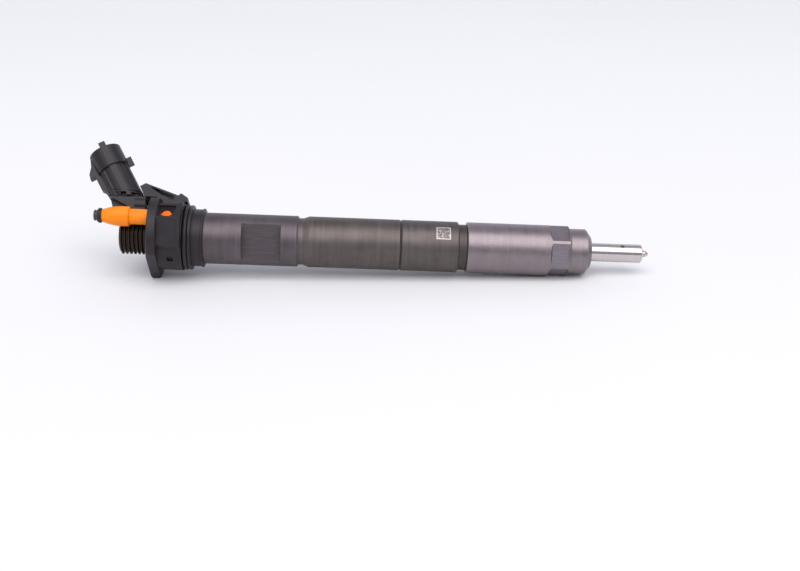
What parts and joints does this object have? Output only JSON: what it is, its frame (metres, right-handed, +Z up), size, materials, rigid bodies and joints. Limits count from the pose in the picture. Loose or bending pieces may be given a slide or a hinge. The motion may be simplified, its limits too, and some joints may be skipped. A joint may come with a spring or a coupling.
{
  "type": "fuel injector",
  "caption": "Slim common-rail diesel injector with a threaded fuel inlet, angled electrical connector, orange return spigot, ground steel body and a long spray nozzle.",
  "frame": {"origin": "centre of the nozzle shank in the plane of the retaining nut's end face, which is where the injector seals in the cylinder head", "axes": "+X along the injector towards the spray tip; +Z up as it lies on its flange foot and nut, with the data side facing -Y and the connector leaning back towards +Y"},
  "size_m": [0.2125, 0.0414, 0.0465],
  "materials": {
    "body_steel": "ground, dark grey",
    "nut_steel": "turned, satin",
    "nozzle_steel": "ground, bright",
    "hardened_steel": "lapped",
    "spring_steel": "bright drawn",
    "piezo_ceramic": "lapped ceramic layers",
    "contact_metal": "tin plated",
    "insulator_plastic": "natural",
    "black_plastic": "glass-filled, satin black",
    "grey_plastic": "satin dark grey",
    "orange_plastic": "moulded, semi-gloss",
    "rubber": "black rubber"
  },
  "bodies": {
    "injector": {"injector_body": "body_steel", "retaining_nut": "nut_steel", "nozzle_body": "nozzle_steel", "needle_sleeve": "hardened_steel", "throttle_plate": "hardened_steel", "valve_plate": "hardened_steel", "dowel_pins": "hardened_steel", "valve_spring": "spring_steel", "coupler_sleeve": "hardened_steel", "coupler_lower_spring": "spring_steel", "coupler_upper_spring": "spring_steel", "piezo_stack": "piezo_ceramic", "stack_electrodes": "contact_metal", "actuator_tube_spring": "spring_steel", "actuator_sleeve": "spring_steel", "actuator_head": "hardened_steel", "actuator_seal_ring": "rubber", "contact_pins": "contact_metal", "pin_insulators": "insulator_plastic", "inlet_edge_filter": "hardened_steel", "head_housing": "black_plastic", "head_seal_ring": "rubber", "contact_cover": "black_plastic", "contact_rails": "contact_metal", "connector_shell": "black_plastic", "connector_terminals": "contact_metal", "return_spigot": "orange_plastic", "return_oring": "rubber", "spigot_tip": "grey_plastic", "spigot_inner_oring": "rubber"},
    "needle": {"nozzle_needle": "hardened_steel", "spring_ring": "hardened_steel", "needle_spring": "spring_steel"},
    "actuator_end": {"actuator_foot": "hardened_steel", "coupler_large_piston": "hardened_steel"},
    "valve": {"coupler_small_piston": "hardened_steel", "valve_pin": "hardened_steel"}
  },
  "joints": [
    {"name": "needle_lift", "type": "slide", "parent": "injector", "child": "needle", "axis": [-1, 0, 0], "range_m": [0, 0.00025], "stiffness_N_per_m": 20000, "springref_m": -0.0015},
    {"name": "actuator_stroke", "type": "slide", "parent": "injector", "child": "actuator_end", "axis": [1, 0, 0], "range_m": [0, 0.00004], "stiffness_N_per_m": 20000, "springref_m": -0.001},
    {"name": "valve_stroke", "type": "slide", "parent": "injector", "child": "valve", "axis": [1, 0, 0], "range_m": [0, 0.000054], "stiffness_N_per_m": 5000, "springref_m": -0.001}
  ],
  "couplings": [
    {"joint": "valve_stroke", "follows": "actuator_stroke", "ratio": 1.3314}
  ]
}
